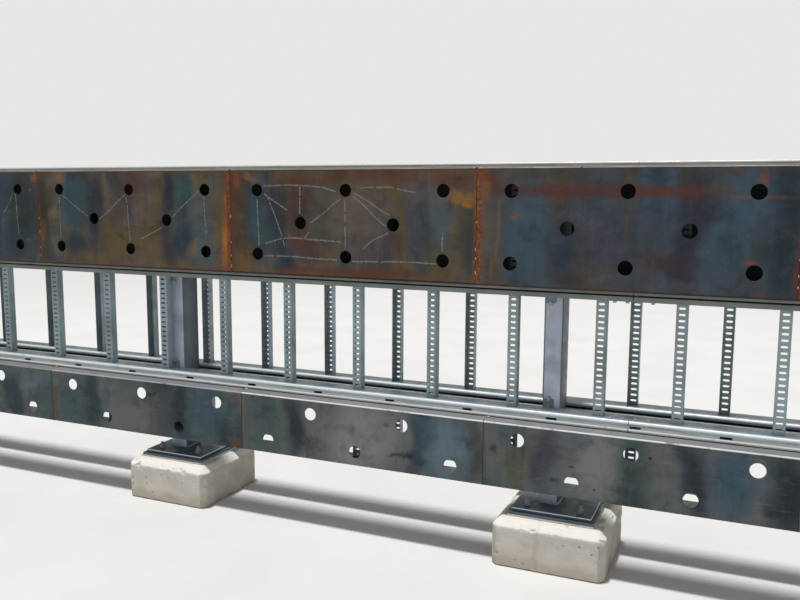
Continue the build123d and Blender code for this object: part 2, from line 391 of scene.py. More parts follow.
def hot_rolled(name, box, scale_tones, tints, stains, ends, edge_share, seed):
    """Mill scale on plate: soft heat tints, cloudy oxide, mottled stains, rust at ends and edges."""
    low, high = box
    middle = (low.x + high.x) / 2
    f = Finish(name)
    bent = f.bent_place(3.6, 0.22, seed)
    f.base = f.ramp(f.noise((3.0, 1.0, 1.2), distortion=0.6, shift=(seed, 0, seed)), scale_tones)
    for *spot, tone, share in tints:
        f.lay(tone, share, f.reach(bent, middle, spot), 1.55, 0.30)
    clouds = f.noise((9, 9, 11), 7.0, 0.66, 0.5, shift=(seed, 8, 1))
    f.lay(SOOT, 0.46, clouds, 0.46, 0.74)
    f.lay(colour(124, 118, 108), 0.20, clouds, 0.46, 0.26)
    streaks = f.noise((44, 20, 2.4), 4.0, 0.65, shift=(0, seed, 0))
    f.lay(colour(132, 130, 124), 0.07, streaks, 0.52, 0.75)
    f.lay(SOOT, 0.14, streaks, 0.48, 0.28)
    mottle = f.noise((52, 12, 44), 5.0, 0.72, shift=(1, 1, seed))
    f.lay(colour(118, 104, 88), 0.26, mottle, 0.55, 0.80)
    f.lay(SOOT, 0.34, mottle, 0.45, 0.22)
    broken = f.swing(mottle, 2.0)
    soft_break = f.plus(f.times(broken, 0.35), f.minus(clouds, 0.5))
    inner = f.fade(f.noise((30, 12, 70), 4.0, 0.7, shift=(seed, 3, 3)), 0.25, 0.65, 0.5, 1.0)
    for *spot, tone, share in stains:
        wide = spot[2] > WIDE_STAIN
        reach = f.reach(f.place if wide or spot[2] < SMALL_STAIN else bent, middle, spot)
        f.lay(tone, share, f.plus(reach, soft_break if wide else broken), 1.50, 0.25, inner)
    ragged = f.noise((22, 12, 15), 5.0, 0.7)
    wander = f.swing(ragged, 0.04)
    for end_x, outward, (end_reach, tone, share) in ((low.x, -1, ends[0]), (high.x, 1, ends[1])):
        depth = f.times(f.minus(end_x, f.x), outward)
        deep = end_reach / 1000
        f.lay(tone, 0.35 * share, depth, 2.4 * deep, 0.8 * deep, inner)
        flecks = f.mix(f.fade(mottle, 0.40, 0.62), RUST, tone)
        f.lay(flecks, share, f.plus(depth, wander), 1.2 * deep, 0.4 * deep)
    along = f.fade(f.noise((3.5, 1, 1), 4.0, 0.6, shift=(seed, 0, 5)), 0.42, 0.60, 0.15, 1.0)
    thin = f.swing(ragged, 0.008)
    edges = ((low.z, 1, colour(36, 28, 23), colour(108, 68, 42), 0.75),
             (high.z, -1, colour(88, 50, 40), colour(94, 62, 46), 0.40))
    for level, inward, line_tone, glow_tone, share in edges:
        depth = f.plus(f.times(f.minus(f.z, level), inward), thin)
        f.lay(glow_tone, share * edge_share, depth, 0.030, 0.003, along)
        f.lay(line_tone, min(1.0, 0.8 * edge_share), depth, 0.0060, 0.0025)
    height = f.plus(f.times(f.noise(420, 2.0, 0.6), 0.3), f.times(mottle, 0.7))
    return f, f.fade(clouds, 0.3, 0.7, 0.48, 0.66), height


def upper_plate(number):
    scale_tones = BLUE_SCALE if number in (1, 4) else BROWN_SCALE
    f, roughness, height = hot_rolled(
        f"upper_plate_{number}", upper_boxes[number - 1], scale_tones, UPPER_TINTS[number],
        UPPER_STAINS[number], UPPER_ENDS[number], UPPER_EDGE_RUST[number], 3.0 + number)
    return f.finish(roughness, 0.10, 0.25, height)


def lower_plate(number):
    """Adds a painted highlight along the fold and a dusty flange above it."""
    box = lower_boxes[number - 1]
    f, roughness, height = hot_rolled(
        f"lower_plate_{number}", box, LOWER_SCALE, LOWER_TINTS[number], LOWER_STAINS[number],
        LOWER_ENDS, 0.15, 20.0 + number)
    scratches = f.noise((9, 9, 90), 4.0, 0.6, 0.5, shift=(number, 0, 0))
    f.lay(colour(134, 134, 122), 0.25, scratches, 0.60, 0.74)
    fold = box[1].z - FOLD_DROP
    f.lay(colour(117, 118, 121), 0.75, f.z, fold, fold + 0.003)
    # A painted highlight along the fold, broken by noise
    highlight_breakup = f.fade(f.noise(7, 5.0, 0.7, shift=(0, 0, number)), 0.30, 0.46, 0.25, 1.0)
    from_fold = f.size(f.minus(f.z, fold - 0.002))
    f.lay(HIGHLIGHT_PALE, FOLD_HIGHLIGHT_SHARE[number], from_fold, 0.0042, 0.0022, highlight_breakup)
    return f.finish(roughness, 0.0, 0.2, height)


REAR_TINTS = 22
REAR_PALETTE = (TEAL, BLUE, INDIGO, SLATE, OLIVE, EARTH, GREY, UMBER)


def rear_plates():
    """One finish for the whole rear, with tints spread at random and painted shade on the inner side."""
    low = Vector((upper_boxes[0][0].x, 0, UPPER_LOW))
    high = Vector((upper_boxes[-1][1].x, 0, UPPER_HIGH))
    pitch = (high.x - low.x) / REAR_TINTS
    tints = []
    for i in range(REAR_TINTS):
        x = 1000 * (low.x + (i + 0.5) * pitch)
        tints.append((x, chance.uniform(1360, 1580), chance.uniform(70, 160), chance.uniform(120, 260),
                      chance.choice(REAR_PALETTE), chance.uniform(0.6, 0.9)))
    stains = []
    for joint in upper_joints:
        x = 1000 * joint
        stains.append((x, chance.uniform(1350, 1600), 40, 200, RUST, 0.9))
        stains.append((x + chance.uniform(-20, 20), 1665, 90, 36, ORANGE, 0.7))
    ends = ((20, RUST, 0.7),) * 2
    f, roughness, height = hot_rolled(
        "rear_plates", (low, high), BROWN_SCALE, tints, stains, ends, 1.0, 11.0)
    inner_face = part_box("rear_upper_cover_1")[0].y
    # Painted shade on the inner face, which looks into the closed upper tier
    f.lay(SOOT, 0.8, f.y, inner_face + 0.002, inner_face + 0.001)
    return f.finish(roughness, 0.10, 0.25, height)


def shaded(tone, share):
    """A display tone made darker or paler."""
    return colour(*(min(part * share, 236) for part in tone))


BAND_BLUR = 0.0008


def galvanised(name, tone, dust, seed, bands=(), painted_side_shade=None):
    """Hot-dip zinc: cloudy patches, fine spangle, drip streaks, grime, and dust on what faces up.

    Bands list (low z, high z, colour): painted highlights, painted shade and painted shadow lines, and a
    pale band at the levelling plates' foot.
    Faces across the rack take the painted side shade.
    """
    pale = shaded(tone, 1.12)
    f = Finish(name)
    clouds = f.noise(5, 4.0, 0.55, 0.3, shift=(seed, 0, 0))
    f.base = f.ramp(clouds, [(0.30, shaded(tone, 0.86)), (0.5, colour(*tone)), (0.72, pale)])
    f.base = f.mix(0.08, f.base, f.cells(95, "Color"), "SOFT_LIGHT")
    f.lay(pale, 0.30, f.noise((38, 38, 3), 3.0, 0.6, shift=(0, seed, 0)), 0.55, 0.8)
    f.lay(shaded(tone, 0.62), 0.35, f.noise(14, 5.0, 0.65, shift=(0, 0, seed)), 0.58, 0.80)
    # Painted shade on the faces across the rack
    if painted_side_shade:
        f.lay(painted_side_shade, 0.85, f.size(f.facing(0)), 0.45, 0.80)
    settled = f.fade(f.noise(4, 3.0), 0.3, 0.7, 0.4, 0.8)
    f.lay(colour(138, 136, 124), dust, f.facing(2), 0.75, 0.98, settled)
    # The bands lie only on faces that don't look straight up, broken by noise
    band_breakup = f.fade(f.noise(11, 4.0, 0.7, shift=(seed, 4, 0)), 0.28, 0.44, 0.55, 1.0)
    on_sides = f.times(f.fade(f.facing(2), 0.995, 0.96), band_breakup)
    for start, end, band_tone in bands:
        below = f.fade(f.z, end + BAND_BLUR, end - BAND_BLUR)
        f.lay(band_tone, 1.0, f.z, start - BAND_BLUR, start + BAND_BLUR, f.times(below, on_sides))
    roughness = f.fade(f.noise(24, 3.0, shift=(seed, 1, 1)), 0.3, 0.7, 0.42, 0.60)
    return f.finish(roughness, 0.25, 0.4, f.noise(160, 3.0, 0.6))


# Upright stains on the plinths: millimetres from the middle of the plinth with that number
PLINTH_STAINS = {1: 80, 3: -43, 4: -100}


def concrete(name):
    """Cast concrete: pale grey-beige clouds, sand grains, air holes, a few stains and a dirty foot, with
    painted light on the front, rear and top faces.
    """
    f = Finish(name)
    clouds = f.noise((8, 8, 10), 6.0, 0.62, 0.3)
    f.base = f.ramp(clouds, [(0.28, colour(168, 162, 152)), (0.5, colour(190, 184, 173)),
                             (0.72, colour(208, 203, 193))])
    # Painted light: faces that look to the front or rear made paler
    f.lay(colour(238, 232, 222), 0.40, f.size(f.facing(1)), 0.90, 0.98)
    sand = f.noise(230, 3.0, 0.7)
    f.lay(colour(134, 127, 116), 0.32, sand, 0.55, 0.8)
    pits = f.times(f.fade(f.cells(38), 0.20, 0.08), f.fade(f.noise(11, 2.0), 0.52, 0.62))
    f.cover(colour(100, 94, 86), f.times(pits, 0.55))
    # Painted light: faces that look up made paler, flat tops palest
    painted_top_light = f.mix(f.fade(f.facing(2), 0.8, 0.95), colour(232, 228, 219), colour(217, 212, 203))
    f.lay(painted_top_light, 0.85, f.facing(2), 0.35, 0.60)
    foot_edge = f.times(f.noise(10), 0.10)
    f.lay(colour(164, 156, 138), 0.5, f.minus(f.z, foot_edge), 0.030, -0.035)
    bent = f.bent_place(14.0, 0.05, 2.0)
    for number, across in PLINTH_STAINS.items():
        low, high = plinth_boxes[number - 1]
        reach = f.reach(bent, (low.x + high.x) / 2, (across, 100, 12, 150))
        f.lay(colour(128, 120, 110), 0.18, reach, 1.3, 0.4)
    height = f.minus(f.plus(f.times(sand, 0.25), clouds), f.times(pits, 1.6))
    return f.finish(f.fade(clouds, 0.3, 0.7, 0.82, 0.95), 0.0, 0.3, height, 0.003)


def powdery(name, dark, pale):
    """Dry chalk and the dark joint filling: a fine powder in two tones."""
    f = Finish(name)
    powder = f.noise(600, 3.0, 0.7)
    f.base = f.mix(f.fade(powder, 0.3, 0.7), dark, pale)
    return f.finish(0.95, 0.0, 0.2, powder, 0.0002)


upper_finishes = {number: upper_plate(number) for number in range(1, 6)}
lower_finishes = {number: lower_plate(number) for number in range(1, 6)}
rear_finish = rear_plates()
rung_zinc = galvanised("rung_zinc", (140, 156, 162), 0.3, 5.0)
# The upper rungs take a dark zinc: painted shade inside the closed upper tier
painted_shade_zinc = galvanised("painted_shade_zinc", (44, 49, 52), 0.2, 7.0)
# Posts: painted shade within the upper tier and on the faces across the rack
post_zinc = galvanised("post_zinc", (177, 186, 202), 0.3, 8.0,
                       [(UPPER_LOW - 0.010, UPPER_HIGH, colour(92, 94, 102))], colour(84, 92, 100))
cleat_zinc = galvanised("cleat_zinc", (128, 140, 148), 0.3, 4.0)
bolt_zinc = galvanised("bolt_zinc", (154, 160, 164), 0.2, 6.0)
cast = concrete("cast_concrete")
chalk_dust = powdery("chalk_dust", colour(104, 102, 105), colour(150, 148, 148))
dark_seam_fill = powdery("dark_seam_fill", colour(24, 21, 20), colour(48, 36, 30))
weld_zinc = galvanised("weld_zinc", (164, 158, 148), 0.0, 12.0)
tack_scale = galvanised("tack_scale", (176, 152, 116), 0.0, 14.0)
strip_zinc = galvanised("strip_zinc", (178, 180, 176), 0.2, 13.0)

# Rails: zinc tone, lighter or darker by how much light reaches each rail (painted light and shade), and
# bands as (start above the rail's foot, end above it, colour): painted highlights on bends and lips, and
# painted shadow lines
PAINTED_HIGHLIGHT = colour(186, 187, 185)
PAINTED_SHADOW = colour(40, 42, 42)
rail_looks = {
    ("upper", "top"): ((130, 134, 133), [(0.0135, 0.030, PAINTED_HIGHLIGHT), (-0.010, 0.0045, PAINTED_HIGHLIGHT)]),
    ("upper", "bottom"): ((104, 109, 106), [(0.0105, 0.016, PAINTED_SHADOW)]),
    ("middle", "top"): ((114, 120, 118), []),
    ("middle", "bottom"): ((148, 164, 176), [(0.0105, 0.022, colour(206, 212, 211))]),
    ("lower", "top"): ((146, 152, 156), [(0.0135, 0.022, colour(230, 231, 228)), (0.0040, 0.0080, PAINTED_SHADOW)]),
    ("lower", "bottom"): ((150, 156, 158), []),
}
rail_finishes = {}
for (tier, end), (tone, bands) in rail_looks.items():
    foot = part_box(f"front_{tier}_{end}_rail")[0].z
    lifted = [(foot + start, foot + stop, band_tone) for start, stop, band_tone in bands]
    rail_finishes[tier, end] = galvanised(f"{tier}_{end}_rail_zinc", tone, 0.4, len(rail_finishes), lifted)
base_top = base_boxes[0][1].z
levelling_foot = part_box("levelling_plates")[0].z
# A painted highlight along the base plates' top edge, and a pale band along the levelling plates' foot
plate_edges = [(base_top - 0.0048, base_top - 0.0006, colour(212, 218, 224)),
               (levelling_foot, levelling_foot + 0.008, colour(206, 202, 194))]
plate_zinc = galvanised("base_plate_zinc", (79, 92, 103), 0.08, 9.0, plate_edges)

# Finishes by a part of the node's name: the first one that fits is taken
plain_finishes = {
    "plinth": cast, "rear_upper_cover": rear_finish, "post": post_zinc, "base_plate": plate_zinc,
    "levelling": plate_zinc, "cleats": cleat_zinc, "upper_rungs": painted_shade_zinc, "rungs": rung_zinc,
    "splice": bolt_zinc,
}


def finish_of(name):
    """The finish that each CAD node takes."""
    if name.startswith("front_upper_cover"):
        return upper_finishes[int(name[-1])]
    if name.startswith("lower_cover"):
        return lower_finishes[int(name[-1])]
    if name.endswith("rail"):
        side, tier, end, kind = name.split("_")
        return rail_finishes[tier, end]
    return next(material for part, material in plain_finishes.items() if part in name)


for name, node in nodes.items():
    for cad_slot in node.material_slots:
        cad_slot.material = finish_of(name)


def new_object(name, data):
    """An object in the scene. Data is what Blender calls its data, or a bmesh, which is freed."""
    if isinstance(data, bmesh.types.BMesh):
        mesh = bpy.data.meshes.new(name)
        data.to_mesh(mesh)
        data.free()
        data = mesh
    made = bpy.data.objects.new(name, data)
    scene.collection.objects.link(made)
    return made


class Shape:
    """Faces gathered into one mesh. Vertices that meet are joined at the end."""

    def __init__(self):
        self.mesh = bmesh.new()

    def face(self, points):
        self.mesh.faces.new([self.mesh.verts.new(point) for point in points])

    def band(self, first, second):
        """Quads between two closed rings of points."""
        for i in range(len(first)):
            j = (i + 1) % len(first)
            self.face([first[i], first[j], second[j], second[i]])

    def run(self, rings):
        """A solid through rings of points, with a flat face at each end."""
        for first, second in zip(rings, rings[1:]):
            self.band(first, second)
        self.face(rings[0][::-1])
        self.face(rings[-1])

    def bar(self, outline, left, right):
        """A solid bar along the rack, with its outline given as (y, z)."""
        self.run([[(x, y, z) for y, z in outline] for x in (left, right)])

    def lathe(self, foot, axis, profile, segments, turn=0.0):
        """A turned solid: profile lists (radius, height) from the foot along the axis."""
        lean = axis.to_track_quat("Z", "Y")
        angles = [turn + math.tau * i / segments for i in range(segments)]
        rings = []
        for radius, height in profile:
            ring = [Vector((radius * math.cos(a), radius * math.sin(a), height)) for a in angles]
            rings.append([foot + lean @ point for point in ring])
        self.run(rings)

    def piece(self, name, material, replaced=(), outward=True, wall=None, split=32):
        """Turns the faces into an object that rides on the rack.

        Wall is the thickness given to bare sheets, split the angle in degrees that shows as an edge.
        """
        bmesh.ops.remove_doubles(self.mesh, verts=self.mesh.verts, dist=MERGE_DISTANCE)
        if outward:
            bmesh.ops.recalc_face_normals(self.mesh, faces=self.mesh.faces)
        for polygon in self.mesh.faces:
            polygon.smooth = True
        made = new_object(name, self.mesh)
        made.data.materials.append(material)
        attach(made, "root")
        for node in replaced:
            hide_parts(node)
        if wall:
            sheet = made.modifiers.new("wall", "SOLIDIFY")
            sheet.thickness = wall
            sheet.offset = -1
        if split:
            edges = made.modifiers.new("edges", "EDGE_SPLIT")
            edges.split_angle = math.radians(split)


def arc(centre, radius, start, end, steps):
    """Points on an arc, with angles in degrees."""
    points = []
    for i in range(steps + 1):
        angle = math.radians(start + (end - start) * i / steps)
        points.append((centre[0] + radius * math.cos(angle), centre[1] + radius * math.sin(angle)))
    return points


def clusters(values, apart):
    """Middles of the groups that sorted values fall into."""
    groups = []
    for value in sorted(values):
        if groups and value - groups[-1][-1] < apart:
            groups[-1].append(value)
        else:
            groups.append([value])
    return [(group[0] + group[-1]) / 2 for group in groups]


def solid_middles(node, axis, apart):
    """Middles of a CAD node's solids along one axis, from the corners of its mesh."""
    return clusters([vertex.co[axis] for vertex in nodes[node].data.vertices], apart)


def outer_face(side, low, high):
    """Y of the face that looks away from the rack."""
    return low.y if side == "front" else high.y


# Rungs: bent channels with a row of long slots in the web
SHEET = 0.0025
RUNG_WIDTH = 0.045
RUNG_BEND = 0.0035
SLOT_LENGTH = 0.026
SLOT_HEIGHT = 0.009
SLOT_PITCH = 0.025


def rung_sheet(length, depth):
    """Outer faces of one rung, as lists of (across, inward, up)."""
    half = RUNG_WIDTH / 2
    flat = half - RUNG_BEND
    bend = [(-x, y) for x, y in arc((flat, RUNG_BEND), RUNG_BEND, 0, -90, 3)]
    left_edge = [(-half, depth), *bend]
    right_edge = [(-x, y) for x, y in reversed(left_edge)]
    count = int(length / SLOT_PITCH)
    margin = (length - count * SLOT_PITCH) / 2
    middles = [margin + (i + 0.5) * SLOT_PITCH for i in range(count)]
    rows = [0.0, margin]
    for i, middle in enumerate(middles, 1):
        rows += [middle, margin + i * SLOT_PITCH]
    rows.append(length)
    faces = []
    for edge in (left_edge, right_edge):
        for (x0, y0), (x1, y1) in zip(edge, edge[1:]):
            for low, high in zip(rows, rows[1:]):
                faces.append([(x0, y0, low), (x1, y1, low), (x1, y1, high), (x0, y0, high)])
    radius = SLOT_HEIGHT / 2
    straight = SLOT_LENGTH / 2 - radius
    for low, high in ((0.0, margin), (length - margin, length)):
        for x0, x1 in ((-flat, -straight), (-straight, straight), (straight, flat)):
            faces.append([(x0, 0, low), (x1, 0, low), (x1, 0, high), (x0, 0, high)])
    reach = SLOT_PITCH / 2
    cell = [(straight, -reach), (flat, -reach), (flat, 0), (flat, reach), (straight, reach)]
    cell += [(-x, -z) for x, z in cell]
    hole = arc((straight, 0), radius, -90, 90, 4)
    hole += [(-x, -z) for x, z in hole]
    for middle in middles:
        for a in range(len(cell)):
            b = (a + 1) % len(cell)
            corners = (cell[a], cell[b], hole[b], hole[a])
            faces.append([(x, 0, middle + z) for x, z in corners])
    return faces


def make_rungs(side, tier):
    node = f"{side}_{tier}_rungs"
    low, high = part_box(node)
    sign = SIDES[side]
    outer = outer_face(side, low, high)
    sheet = rung_sheet(high.z - low.z, high.y - low.y)
    shape = Shape()
    for centre in solid_middles(node, 0, RUNGS_APART):
        lean = chance.uniform(-0.0005, 0.0005)
        for corners in sheet:
            shape.face([(centre - sign * (x + lean), outer - sign * y, low.z + z) for x, y, z in corners])
    shape.piece(f"{node}_slotted", finish_of(node), replaced=[node], outward=False, wall=SHEET)


for side in SIDES:
    for tier in TIERS:
        make_rungs(side, tier)


# Rails: rolled channels with wide bends and lip tips that curl inwards
RAIL_ROUNDING = {("upper", "top"): (0.0045, 0.008), ("middle", "bottom"): (0.011, 0.003)}
OTHER_ROUNDING = (0.007, 0.003)
TIP_RETURN = 0.0025
SECTION_GAP = 0.003
splice_low, splice_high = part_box("splice_plates")
section_joint = (splice_low.x + splice_high.x) / 2


def rail_profile(depth, height, bend, curl):
    """Closed outline of a rail as (across, up from the web), with its lips pointing up.

    Bend is the radius between web and lip, curl the radius of the lip's tip.
    """
    bend_centre = (bend, bend)
    curl_centre = (curl, height - curl)
    half = [(curl + TIP_RETURN, height), *arc(curl_centre, curl, 90, 180, 5)]
    half += arc(bend_centre, bend, 180, 270, 6)
    half_inner = arc(bend_centre, bend - SHEET, 270, 180, 5)
    half_inner += arc(curl_centre, curl - SHEET, 180, 90, 4)
    half_inner.append((curl + TIP_RETURN, height - SHEET))
    outside = half + [(depth - across, up) for across, up in reversed(half)]
    inside = [(depth - across, up) for across, up in reversed(half_inner)] + half_inner
    return outside + inside


def make_rail(side, tier, end):
    node = f"{side}_{tier}_{end}_rail"
    low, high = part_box(node)
    outer = outer_face(side, low, high)
    web, lips = (low.z, 1) if end == "top" else (high.z, -1)
    rounding = RAIL_ROUNDING.get((tier, end), OTHER_ROUNDING)
    profile = rail_profile(high.y - low.y, high.z - low.z, *rounding)
    outline = [(outer - SIDES[side] * across, web + lips * up) for across, up in profile]
    shape = Shape()
    if side == "front":
        shape.bar(outline, low.x, section_joint - SECTION_GAP / 2)
        shape.bar(outline, section_joint + SECTION_GAP / 2, high.x)
    else:
        shape.bar(outline, low.x, high.x)
    shape.piece(f"{node}_rolled", finish_of(node), replaced=[node])


for side in SIDES:
    for tier in TIERS:
        for end in ENDS:
            make_rail(side, tier, end)


# Pale strips in the gap between the middle and lower ladders, open midway between the rungs
STRIP_DEPTH = 0.005
STRIP_SET_BACK = 0.0015
STRIP_CHAMFER = 0.001
STRIP_OPENING = 0.045


def make_strips(side):
    low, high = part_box(f"{side}_lower_top_rail")
    inward = -SIDES[side]
    near = outer_face(side, low, high) + inward * STRIP_SET_BACK
    far = near + inward * STRIP_DEPTH
    cut = inward * STRIP_CHAMFER
    foot, top = high.z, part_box(f"{side}_middle_bottom_rail")[0].z
    foot_cut, top_cut = foot + STRIP_CHAMFER, top - STRIP_CHAMFER
    outline = [(near + cut, top), (near, top_cut), (near, foot_cut), (near + cut, foot),
               (far - cut, foot), (far, foot_cut), (far, top_cut), (far - cut, top)]
    centres = solid_middles(f"{side}_middle_rungs", 0, RUNGS_APART)
    openings = [(a + b) / 2 for a, b in zip(centres, centres[1:])]
    lefts = [low.x] + [x + STRIP_OPENING / 2 for x in openings]
    rights = [x - STRIP_OPENING / 2 for x in openings] + [high.x]
    shape = Shape()
    for left, right in zip(lefts, rights):
        shape.bar(outline, left, right)
    shape.piece(f"{side}_gap_strips", strip_zinc)


for side in SIDES:
    make_strips(side)


# Posts: rounded tubes with a closing plate and weld beads
POST_CORNER = 0.010
CAP_HEIGHT = 0.005
CAP_SEAM = 0.0012
CAP_EDGE = 0.001
WELD_SIZE = 0.006


def post_ring(low, high, z, inset=0.0):
    """Points round a post at one level."""
    r = POST_CORNER - inset
    x0, x1 = low.x + POST_CORNER, high.x - POST_CORNER
    y0, y1 = low.y + POST_CORNER, high.y - POST_CORNER
    points = []
    for centre, start in (((x1, y1), 0), ((x0, y1), 90), ((x0, y0), 180), ((x1, y0), 270)):
        points += [(x, y, z) for x, y in arc(centre, r, start, start + 90, 5)]
    return points


def weld_bead(shape, path, seed):
    """A rippled fillet along a closed path of (point, outward direction)."""
    rings = []
    for i, (point, out) in enumerate(path):
        size = WELD_SIZE * (1 + 0.22 * math.sin(i * 2.1 + seed) + 0.12 * chance.uniform(-1, 1))
        rings.append([
            point - out * 0.001,
            point + out * size,
            point + out * size * 0.75 + UP * size * 0.5,
            point + out * size * 0.35 + UP * size * 0.85,
            point - out * 0.001 + UP * size,
        ])
    for first, second in zip(rings, rings[1:] + rings[:1]):
        shape.band(first, second)


def weld_path(low, high):
    """Evenly spaced points round the foot of a post, each with its outward direction."""
    ring = [Vector(point) for point in post_ring(low, high, low.z)]
    path = []
    for a, b in zip(ring, ring[1:] + ring[:1]):
        count = max(1, round((b - a).length / WELD_SIZE))
        for i in range(count):
            point = a.lerp(b, i / count)
            inner_x = min(max(point.x, low.x + POST_CORNER), high.x - POST_CORNER)
            inner_y = min(max(point.y, low.y + POST_CORNER), high.y - POST_CORNER)
            path.append((point, (point - Vector((inner_x, inner_y, low.z))).normalized()))
    return path


foot_welds = Shape()
for number, (low, high) in enumerate(post_boxes, 1):
    cap = high.z - CAP_HEIGHT
    levels = ((low.z, 0.0), (cap - 0.002, 0.0), (cap, CAP_SEAM), (cap + CAP_SEAM, 0.0),
              (high.z - CAP_EDGE, 0.0), (high.z, CAP_EDGE))
    tube = Shape()
    tube.run([post_ring(low, high, z, inset) for z, inset in levels])
    tube.piece(f"post_{number}_tube", post_zinc, replaced=[f"post_{number}"])
    weld_bead(foot_welds, weld_path(low, high), number)
foot_welds.piece("post_foot_welds", bolt_zinc, split=50)


# Plinths: cast blocks with worn edges, small chips and slightly uneven faces
PLINTH_BEVEL = 0.004
PLINTH_VOXEL = 0.0066
EDGE_ZONE = 0.016


def plinth_planes(node):
    """The flat faces of a plinth as (normal, distance), each direction once."""
    planes = {}
    for polygon in nodes[node].data.polygons:
        normal = polygon.normal
        key = tuple(round(part, 2) for part in normal)
        planes[key] = (normal.copy(), normal.dot(polygon.center))
    return list(planes.values())


def wear(place, planes, seed):
    """How far a point of the surface has worn inwards, as a vector away from the face it is on."""
    depths = sorted((distance - normal.dot(place), i) for i, (normal, distance) in enumerate(planes))
    nearest, (edge_depth, second) = depths[0][1], depths[1]
    nearness = max(0.0, 1 - edge_depth / EDGE_ZONE)
    inward = -(planes[nearest][0] + planes[second][0] * nearness).normalized()
    shifted = place + Vector((seed, 0, 0))
    uneven = 0.0006 * (1 + noise.noise(shifted * 9))
    rough = 0.0009 * abs(noise.noise(shifted * 70))
    chip_field = noise.noise(shifted * 24) + 0.5 * noise.noise(shifted * 61)
    chip = max(0.0, chip_field - 0.26) * 0.020 * nearness
    hole = max(0.0, noise.noise(shifted * 85 + Vector((3, 5, 7))) - 0.52) * 0.016
    return inward * (uneven + rough + chip + hole)


def make_plinth(number):
    node = f"plinth_{number}"
    low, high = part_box(node)
    block = bmesh.new()
    block.from_mesh(nodes[node].data)
    bmesh.ops.remove_doubles(block, verts=block.verts, dist=MERGE_DISTANCE)
    bmesh.ops.dissolve_limit(block, angle_limit=0.02, verts=block.verts, edges=block.edges)
    bmesh.ops.bevel(block, geom=block.edges, offset=PLINTH_BEVEL, segments=2, affect="EDGES", profile=0.5)
    rough_block = new_object(f"{node}_block", block)
    voxels = rough_block.modifiers.new("voxels", "REMESH")
    voxels.mode = "VOXEL"
    voxels.voxel_size = PLINTH_VOXEL
    graph = bpy.context.evaluated_depsgraph_get()
    fine = bpy.data.meshes.new_from_object(rough_block.evaluated_get(graph))
    bpy.data.objects.remove(rough_block)
    planes = plinth_planes(node)
    for vertex in fine.vertices:
        moved = vertex.co + wear(vertex.co, planes, number * 3.7)
        vertex.co = [min(max(moved[i], low[i]), high[i]) for i in range(3)]
    shape = Shape()
    shape.mesh.from_mesh(fine)
    shape.piece(f"{node}_cast", cast, [node], split=None)


for number in range(1, 5):
    make_plinth(number)


# Bolt sizes: washer radius and thickness, then the hexagon's width across flats and height
ANCHOR_BOLT = (0.015, 0.003, 0.024, 0.013)
CLEAT_BOLT = (0.011, 0.0022, 0.017, 0.007)
SPLICE_BOLT = (0.009, 0.0018, 0.013, 0.006)
ANCHOR_REACH = 0.116
ANCHOR_RADIUS = 0.008
THREAD_LENGTHS = (0.014, 0.022)
THREAD_PITCH = 0.002
CLEAT_THICKNESS = 0.004
SPLICE_BOLT_ROW = (-0.075, -0.025, 0.025, 0.075)
SPLICE_BOLT_SHIFT = -0.030


def bolt(shape, foot, axis, radius, thickness, across_flats, height):
    """A washer with a chamfered hexagon on it, turned at random."""
    washer = [(radius, 0), (radius, thickness - 0.0005), (radius - 0.0005, thickness)]
    shape.lathe(foot, axis, washer, 24)
    corner = across_flats / math.sqrt(3)
    hexagon = [(corner * 0.97, 0), (corner, 0.0006), (corner, height - 0.0016),
               (across_flats / 2 * 0.97, height)]
    shape.lathe(foot + axis * thickness, axis, hexagon, 6, chance.uniform(0, 1))


def thread(shape, foot, length):
    """A threaded end: ridges one pitch apart and a chamfered tip."""
    profile = [(ANCHOR_RADIUS, 0)]
    for i in range(int(length / THREAD_PITCH) - 1):
        profile.append((ANCHOR_RADIUS, (i + 0.35) * THREAD_PITCH))
        profile.append((ANCHOR_RADIUS * 0.88, (i + 0.85) * THREAD_PITCH))
    profile.append((ANCHOR_RADIUS, length - 0.0015))
    profile.append((ANCHOR_RADIUS * 0.75, length))
    shape.lathe(foot, UP, profile, 14)


anchors = Shape()
nut_top = ANCHOR_BOLT[1] + ANCHOR_BOLT[3]
for low, high in base_boxes:
    middle = (low + high) / 2
    for across in (-ANCHOR_REACH, ANCHOR_REACH):
        for along in (-ANCHOR_REACH, ANCHOR_REACH):
            foot = Vector((middle.x + across, middle.y + along, high.z))
            bolt(anchors, foot, UP, *ANCHOR_BOLT)
            thread(anchors, foot + UP * nut_top, chance.uniform(*THREAD_LENGTHS))
anchors.piece("anchor_bolts", bolt_zinc)

cleat_bolts = Shape()
for side, sign in SIDES.items():
    node = f"{side}_cleats"
    low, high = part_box(node)
    upright = (low.y if side == "rear" else high.y) + sign * CLEAT_THICKNESS
    levels = solid_middles(node, 2, CLEATS_APART)
    for x in solid_middles(node, 0, POSTS_APART):
        for z in levels:
            bolt(cleat_bolts, Vector((x, upright, z)), Vector((0, sign, 0)), *CLEAT_BOLT)
cleat_bolts.piece("cleat_bolts", bolt_zinc)

splice_bolts = Shape()
for tier in TIERS:
    for end in ENDS:
        low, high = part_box(f"front_{tier}_{end}_rail")
        web, axis = (low.z, DOWN) if end == "top" else (high.z, UP)
        for shift in SPLICE_BOLT_ROW:
            foot = Vector((section_joint + shift, (low.y + high.y) / 2 + SPLICE_BOLT_SHIFT, web))
            bolt(splice_bolts, foot, axis, *SPLICE_BOLT)
splice_bolts.piece("splice_bolts", bolt_zinc)


# Rolled edges for the plates and cleats that stay as they are
def soften(node, width):
    """Joins the CAD node's loose corners and rounds its sharp edges."""
    weld = node.modifiers.new("weld", "WELD")
    weld.merge_threshold = MERGE_DISTANCE
    bevel = node.modifiers.new("round", "BEVEL")
    bevel.width = width
    bevel.segments = 2
    bevel.limit_method = "ANGLE"
    bevel.angle_limit = math.radians(40)


for name, node in nodes.items():
    if name.endswith("cleats") or name.startswith("base_plate") or name == "levelling_plates":
        soften(node, 0.0018)
    if "cover" in name:
        soften(node, 0.0006)


